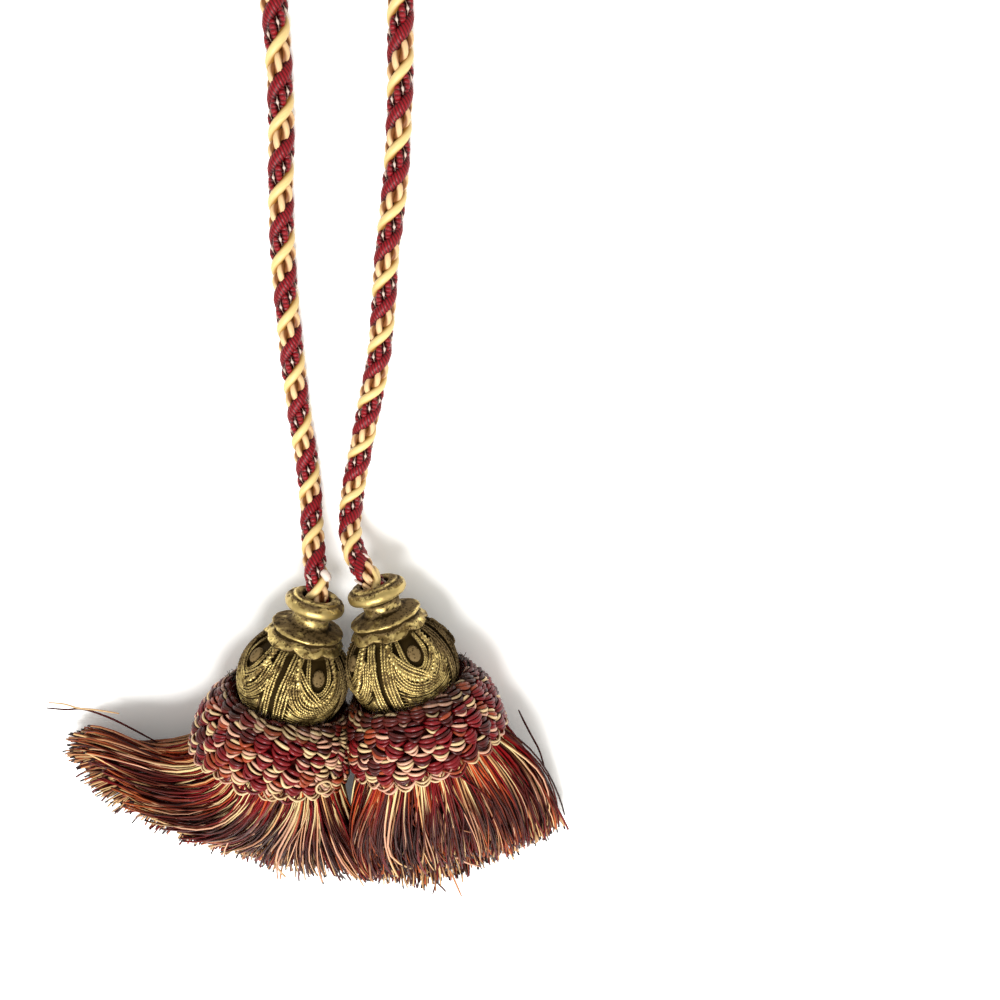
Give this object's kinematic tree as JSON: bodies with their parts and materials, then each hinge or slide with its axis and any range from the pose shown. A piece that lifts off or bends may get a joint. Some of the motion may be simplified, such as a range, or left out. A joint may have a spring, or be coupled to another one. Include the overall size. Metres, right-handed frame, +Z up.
{
  "type": "curtain tieback with two tassels",
  "caption": "Curtain tieback: a twisted burgundy and cream rope with a gilt finial, a knotted ruff and a cut yarn tassel at each end, laid flat.",
  "frame": {"origin": "on the table top, under the middle of the two tassels' footprint, the rope not counted", "axes": "+Z up from the table, +Y along the rope away from the tassels, +X across to the right tassel"},
  "size_m": [0.229, 0.4879, 0.0625],
  "materials": {
    "rope yarn": "twisted rayon plies, burgundy with one satin cream strand",
    "gilt resin": "cast resin, antique gilt, dark wax in the hollows",
    "ruff yarn": "knotted rayon yarn, burgundy, rust and gold",
    "skirt yarn": "cut rayon yarn, burgundy, rust and gold"
  },
  "bodies": {
    "root": {"rope": "rope yarn", "finial_left": "gilt resin", "finial_right": "gilt resin", "ruff_left": "ruff yarn", "ruff_right": "ruff yarn", "fringe_left": "skirt yarn", "fringe_right": "skirt yarn"}
  },
  "joints": []
}
